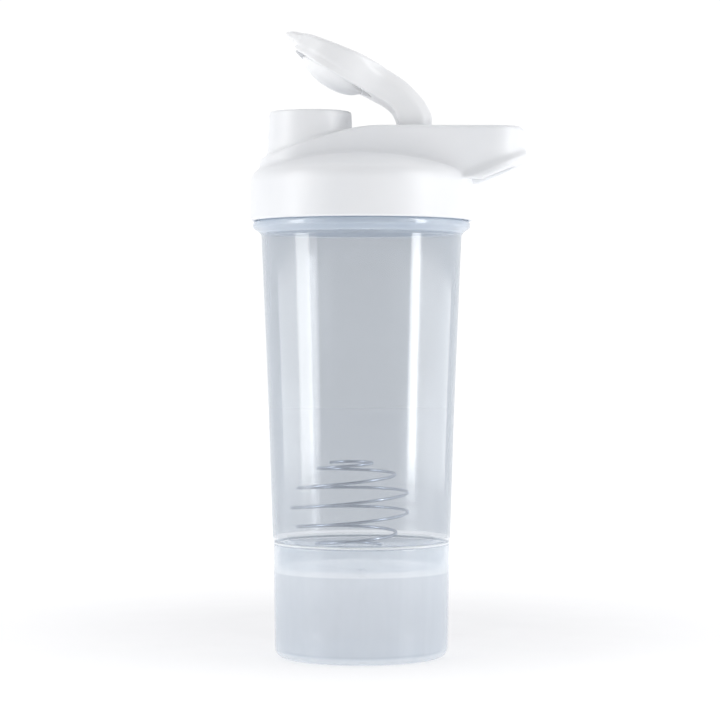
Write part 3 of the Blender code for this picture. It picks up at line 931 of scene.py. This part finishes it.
def steel_wire(name):
    """Drawn stainless wire: bright, with fine die lines and a little dulling."""
    n = Nodes(name)
    cloud = n.spread(n.noise(240.0, 3.0), 0.0, 1.0)
    steel = n.colours(cloud, (0.52, 0.56, 0.63), (0.64, 0.67, 0.73))
    n.link(steel, n.shader.inputs["Base Color"])
    n.link(n.spread(n.noise(700.0, 3.0), 0.16, 0.26), n.shader.inputs["Roughness"])
    die_lines = n.noise(2600.0, 3.0, 0.6, n.stretched((1.0, 1.0, 3.0)))
    n.bump(die_lines, 0.00001)
    n.set(Metallic=1.0)
    return n.material


# ---------------------------------------------------------------- set
WATTS_PER_RADIANCE = 0.32 * math.pi  # for each square metre of softbox


def area_light(name, bearing, distance, centre_z, width, height, radiance):
    """A softbox facing the object. bearing is in degrees from the camera's side, left positive."""
    data = bpy.data.lights.new(name, "AREA")
    data.shape = "RECTANGLE"
    data.size = width
    data.size_y = height
    data.energy = WATTS_PER_RADIANCE * radiance * width * height
    light = bpy.data.objects.new(name, data)
    a = math.radians(bearing)
    light.location = (-distance * math.sin(a), -distance * math.cos(a), centre_z)
    light.rotation_euler = (math.radians(90), 0.0, -a)
    light.visible_camera = False
    bpy.context.scene.collection.objects.link(light)
    return light


def make_world():
    """Soft light that is stronger behind the object than in front, and a plain bright backdrop."""
    front = 0.36
    back = 1.05
    world = bpy.data.worlds.new("studio")
    bpy.context.scene.world = world
    world.use_nodes = True
    tree = world.node_tree
    tree.nodes.clear()
    output = tree.nodes.new("ShaderNodeOutputWorld")
    coordinate = tree.nodes.new("ShaderNodeTexCoord")
    split = tree.nodes.new("ShaderNodeSeparateXYZ")
    tree.links.new(coordinate.outputs["Generated"], split.inputs["Vector"])
    level = tree.nodes.new("ShaderNodeMapRange")
    level.interpolation_type = "SMOOTHSTEP"
    level.inputs["From Min"].default_value = -0.75
    level.inputs["From Max"].default_value = 0.75
    level.inputs["To Min"].default_value = front
    level.inputs["To Max"].default_value = back
    tree.links.new(split.outputs["Y"], level.inputs["Value"])
    soft = tree.nodes.new("ShaderNodeBackground")
    soft.inputs["Color"].default_value = (0.985, 0.99, 1.0, 1.0)
    tree.links.new(level.outputs["Result"], soft.inputs["Strength"])
    plain = tree.nodes.new("ShaderNodeBackground")
    plain.inputs["Color"].default_value = (1.0, 1.0, 1.0, 1.0)
    plain.inputs["Strength"].default_value = back
    path = tree.nodes.new("ShaderNodeLightPath")
    mix = tree.nodes.new("ShaderNodeMixShader")
    tree.links.new(path.outputs["Is Camera Ray"], mix.inputs["Fac"])
    tree.links.new(soft.outputs["Background"], mix.inputs[1])
    tree.links.new(plain.outputs["Background"], mix.inputs[2])
    tree.links.new(mix.outputs["Shader"], output.inputs["Surface"])


def make_floor():
    """A wide round sheet of pale studio paper, with a soft shadow painted into its colour around the
    object and a little behind it.
    """
    below_base = 0.0002
    painted_shadow_centre = (0.0, 0.12, 0.0)
    painted_shadow_r = 0.06
    pale_r = 0.32
    rings = (0.2, 0.6, 1.5, 4.0)
    sides = 96
    points = [(0.0, 0.0, 0.0)]
    faces = []
    for k, radius in enumerate(rings):
        base = 1 + k * sides
        for i in range(sides):
            a = 2 * math.pi * i / sides
            points.append((radius * math.cos(a), radius * math.sin(a), 0.0))
            j = (i + 1) % sides
            if k == 0:
                faces.append((0, base + i, base + j))
            else:
                faces.append((base - sides + i, base + i, base + j, base - sides + j))
    mesh = bpy.data.meshes.new("floor")
    mesh.from_pydata(points, [], faces)
    floor = add_object("floor", mesh)
    floor.location.z = -below_base
    n = Nodes("studio_paper")
    # painted shadow: the paper's colour goes grey towards a point just behind the object
    away = n.new("ShaderNodeVectorMath", operation="DISTANCE")
    n.link(n.place, away.inputs[0])
    away.inputs[1].default_value = painted_shadow_centre
    distance = n.spread(away.outputs["Value"], 0.0, 0.9, painted_shadow_r, pale_r)
    tone = n.add(distance, n.noise(6.0, 3.0), 0.1)
    # the darker colour is the painted shadow, the lighter one the paper itself
    n.link(n.colours(tone, (0.27, 0.27, 0.285), (0.62, 0.62, 0.625)), n.shader.inputs["Base Color"])
    n.link(n.spread(n.noise(40.0, 2.0), 0.75, 0.9), n.shader.inputs["Roughness"])
    n.bump(n.noise(900.0, 2.0), 0.00003)
    n.set(Specular_IOR_Level=0.2, Emission_Color=(1.0, 1.0, 1.0, 1.0), Emission_Strength=0.59)
    floor.data.materials.append(n.material)


def make_camera():
    """A long lens a metre away, level with the middle of the bottle."""
    tilt_down = 0.338
    data = bpy.data.cameras.new("camera")
    data.lens = 127.0
    data.sensor_width = 36.0
    data.clip_start = 0.01
    camera = bpy.data.objects.new("camera", data)
    camera.location = (-0.0006, -1.016, 0.1245)
    camera.rotation_euler = (math.radians(90.0 - tilt_down), 0.0, 0.0)
    bpy.context.scene.collection.objects.link(camera)
    bpy.context.scene.camera = camera


SIDE_DISTANCE = 0.75
STRIP_DISTANCE = 0.74
# Two softboxes on each side, below and above: (name, bearing, centre z, width, height, radiance)
SIDE_LIGHTS = (
    ("left_low", 82.0, 0.07, 0.90, 0.136, 5.4),
    ("left_high", 68.0, 0.42, 0.90, 0.46, 2.6),
    ("right_low", -96.0, 0.07, 0.98, 0.136, 5.8),
    ("right_high", -70.0, 0.42, 0.98, 0.46, 3.7),
)
# Narrow strips that only draw the highlights along the walls: (bearing, width, radiance)
STRIP_LIGHTS = ((70.0, 0.24, 11.0), (-64.0, 0.15, 18.0))


def make_lights():
    for name, bearing, centre_z, width, height, radiance in SIDE_LIGHTS:
        area_light(name, bearing, SIDE_DISTANCE, centre_z, width, height, radiance)
    for bearing, width, radiance in STRIP_LIGHTS:
        strip = area_light("strip", bearing, STRIP_DISTANCE, 0.45, width, 0.9, radiance)
        strip.visible_diffuse = False
        strip.visible_transmission = False
    top = area_light("top_softbox", 0.0, 0.0, 1.4, 1.2, 1.2, 1.6)
    top.rotation_euler = (0.0, 0.0, 0.0)


# ---------------------------------------------------------------- assembly
def dress(piece, material, body, node):
    """Gives a piece its material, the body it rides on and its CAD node."""
    piece.data.materials.append(material)
    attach(piece, body)
    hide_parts(node)


def main():
    make_camera()
    make_lights()
    make_world()
    make_floor()
    bpy.context.scene.view_settings.view_transform = "Standard"

    body = clear_plastic(
        "clear_body",
        tint=(0.67, 0.69, 0.715),
        milk_low=(0.70, 0.78, 0.88),
        milk_high=(0.78, 0.85, 0.93),
        rough=(0.08, 0.14),
        haze=(0.13, 0.50),
        lining=(0.0329, 0.0367, 0.0480, 0.1690),
        # the flange under the lid, and the threaded ring under the floor
        zones=((0.1693, 0.1760, 0.68, 1.0, 0.2), (0.0360, 0.0478, 0.36, 1.0, 0.72)),
    )
    cup = clear_plastic(
        "clear_cup",
        tint=(0.79, 0.808, 0.835),
        milk_low=(0.80, 0.86, 0.93),
        milk_high=(0.82, 0.88, 0.945),
        rough=(0.09, 0.15),
        haze=(0.31, 0.56),
        lining=(0.03375, 0.02, 0.0035, 0.0355),
        # the base, and the threaded mouth
        zones=((-0.001, 0.0026, 0.1, 1.0, 0.2), (0.0345, 0.0450, 0.12, 1.0, 0.1)),
    )
    lid = white_plastic(
        "lid_white", (0.845, 0.86, 0.885), (0.88, 0.89, 0.91), rough=(0.34, 0.46), grain=0.000016
    )
    cap = white_plastic(
        "cap_white", (0.86, 0.87, 0.885), (0.895, 0.90, 0.915), rough=(0.32, 0.44), grain=0.000014
    )
    plug = soft_plastic("plug_milky", (0.91, 0.92, 0.935), (0.94, 0.95, 0.96), rough=(0.38, 0.5))
    seal = soft_plastic("seal_milky", (0.80, 0.84, 0.88), (0.86, 0.89, 0.92), rough=(0.42, 0.55))
    steel = steel_wire("wire_steel")

    dress(make_bottle(), body, "bottle", "bottle_body")
    dress(make_cup(), cup, "cup", "storage_cup")
    dress(make_lid(), lid, "lid", "lid")
    dress(make_cap(), cap, "cap", "flip_cap")
    dress(make_plug(), plug, "cap", "spout_plug")
    lid_ring = make_seal("lid_gasket_ring", 37.8, 42.2, 190.3, 1.6)
    dress(lid_ring, seal, "lid_seal", "lid_gasket")
    cup_ring = make_seal("cup_gasket_ring", 33.65, 35.0, 45.3, 0.8)
    dress(cup_ring, seal, "cup_seal", "storage_gasket")
    dress(make_spring(), steel, "spring", "mixer_spring")


main()
